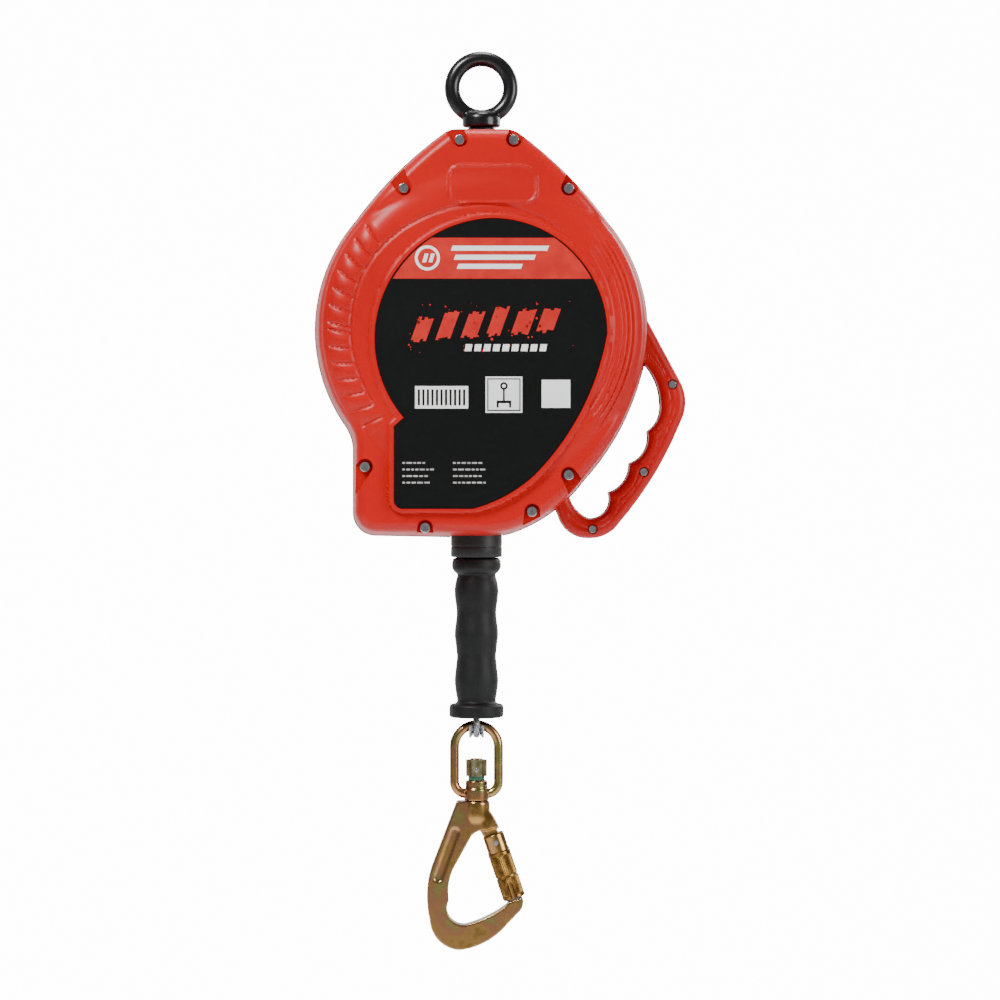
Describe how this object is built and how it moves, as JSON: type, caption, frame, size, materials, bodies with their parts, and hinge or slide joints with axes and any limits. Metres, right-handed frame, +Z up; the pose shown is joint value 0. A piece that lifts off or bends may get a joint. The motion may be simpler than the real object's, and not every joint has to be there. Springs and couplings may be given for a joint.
{
  "type": "self retracting lifeline",
  "caption": "Fall arrest block: round housing with side carry handle, top swivel eye, spring-retracted wire rope, rubber grip and swivel snap hook.",
  "frame": {"origin": "centre of the anchor eye's hole", "axes": "+Z up towards the overhead anchor, -Y towards the labelled front, +X towards the carry handle"},
  "size_m": [0.2595, 0.1096, 0.6288],
  "materials": {
    "band_green": "matt",
    "black_plastic": "moulded",
    "bright_steel": "zinc plated",
    "bronze": "sintered",
    "drum_alloy": "cast",
    "eye_black": "gloss black over forged steel",
    "frame_steel": "pressed",
    "friction": "sintered lining",
    "grip_rubber": "matt moulded",
    "insert_brass": "turned",
    "label": "printed film",
    "nut_olive": "olive zinc",
    "rear_label": "printed film",
    "red_shell": "fine moulded grain",
    "rope": "galvanised strands",
    "seal": "matt",
    "sleeve_bronze": "knurled yellow zinc",
    "spring_steel": "blued",
    "yellow_zinc": "yellow zinc"
  },
  "bodies": {
    "housing": {"front_cover": "red_shell", "rear_cover": "red_shell", "cover_gasket": "seal", "cover_screws": "bright_steel", "cover_inserts": "insert_brass", "handle_screws": "bright_steel", "front_label": "label", "rear_label": "rear_label", "eye_bushing": "black_plastic", "outlet_collar": "black_plastic", "fairlead_bush": "black_plastic", "frame_plate_front": "frame_steel", "frame_plate_rear": "frame_steel", "frame_spacers": "frame_steel", "frame_bolts": "bright_steel", "frame_nuts": "bright_steel", "top_block": "frame_steel", "block_screws": "bright_steel", "main_shaft": "frame_steel", "shaft_nuts": "bright_steel", "spring_cup": "frame_steel", "spring_cup_lid": "frame_steel", "cup_screws": "bright_steel", "power_spring": "spring_steel", "friction_discs": "friction", "backing_plate": "frame_steel", "pressure_plate": "frame_steel", "disc_spring": "spring_steel", "brake_nut": "frame_steel", "lifeline_inner_run": "rope"},
    "anchor": {"anchor_eye": "eye_black", "eye_washer": "bright_steel", "eye_nut": "bright_steel", "eye_pin": "bright_steel"},
    "ring": {"ratchet_ring": "frame_steel"},
    "drum": {"drum": "drum_alloy", "drum_bushes": "bronze", "cable_windings": "rope", "rope_clamp_screw": "bright_steel", "pawl_pivots": "bright_steel", "pawl_springs": "spring_steel"},
    "pawl_a": {"pawl_a": "frame_steel"},
    "pawl_b": {"pawl_b": "frame_steel"},
    "line": {"lifeline_run": "rope", "hand_grip": "grip_rubber", "stop_washer": "bright_steel", "ferrule": "drum_alloy", "lifeline_loop": "rope", "thimble": "bright_steel"},
    "link": {"swivel_link": "yellow_zinc", "swivel_bush": "bronze"},
    "hook": {"hook_body": "yellow_zinc", "swivel_nut": "nut_olive", "nut_pin": "bright_steel", "load_indicator_band": "band_green", "gate_pivot_pin": "bright_steel"},
    "gate": {"hook_gate": "yellow_zinc", "gate_spring": "spring_steel"},
    "sleeve": {"lock_sleeve": "sleeve_bronze", "sleeve_detent": "spring_steel"}
  },
  "joints": [
    {"name": "eye_swivel", "type": "hinge", "parent": "housing", "child": "anchor", "pos_m": [0, 0, 0], "axis": [0, 0, 1], "continuous": true},
    {"name": "drum_spin", "type": "hinge", "parent": "housing", "child": "drum", "pos_m": [0, 0, -0.1694], "axis": [0, -1, 0], "range_deg": [0, 360], "stiffness_Nm_per_rad": 0.0034, "springref_deg": -24236.11},
    {"name": "line_payout", "type": "slide", "parent": "housing", "child": "line", "axis": [0, 0, -1], "range_m": [0, 0.4399], "deforming": ["lifeline_run"]},
    {"name": "pawl_a_swing", "type": "hinge", "parent": "drum", "child": "pawl_a", "pos_m": [0.044, -0.02775, -0.1694], "axis": [0, 1, 0], "range_deg": [0, 20], "stiffness_Nm_per_rad": 0.02, "springref_deg": -17.19},
    {"name": "pawl_b_swing", "type": "hinge", "parent": "drum", "child": "pawl_b", "pos_m": [-0.044, -0.02775, -0.1694], "axis": [0, 1, 0], "range_deg": [0, 20], "stiffness_Nm_per_rad": 0.02, "springref_deg": -17.19},
    {"name": "brake_slip", "type": "hinge", "parent": "housing", "child": "ring", "pos_m": [0, -0.0368, -0.1694], "axis": [0, -1, 0], "continuous": true},
    {"name": "link_swing", "type": "hinge", "parent": "line", "child": "link", "pos_m": [-0.0035, 0, -0.4455], "axis": [1, 0, 0], "range_deg": [-70, 70]},
    {"name": "hook_swivel", "type": "hinge", "parent": "link", "child": "hook", "pos_m": [-0.0035, 0, -0.49], "axis": [0, 0, 1], "continuous": true},
    {"name": "gate_open", "type": "hinge", "parent": "hook", "child": "gate", "pos_m": [0.0099, 0, -0.5278], "axis": [0, 1, 0], "range_deg": [0, 30], "stiffness_Nm_per_rad": 0.05, "springref_deg": -28.65},
    {"name": "sleeve_turn", "type": "hinge", "parent": "gate", "child": "sleeve", "pos_m": [0.0099, 0, -0.5278], "axis": [0.319, 0, -0.9478], "range_deg": [0, 90], "stiffness_Nm_per_rad": 0.01, "springref_deg": -28.65}
  ],
  "couplings": [
    {"joint": "line_payout", "follows": "drum_spin", "m_per_rad": 0.07},
    {"joint": "pawl_b_swing", "follows": "pawl_a_swing", "ratio": 1}
  ]
}
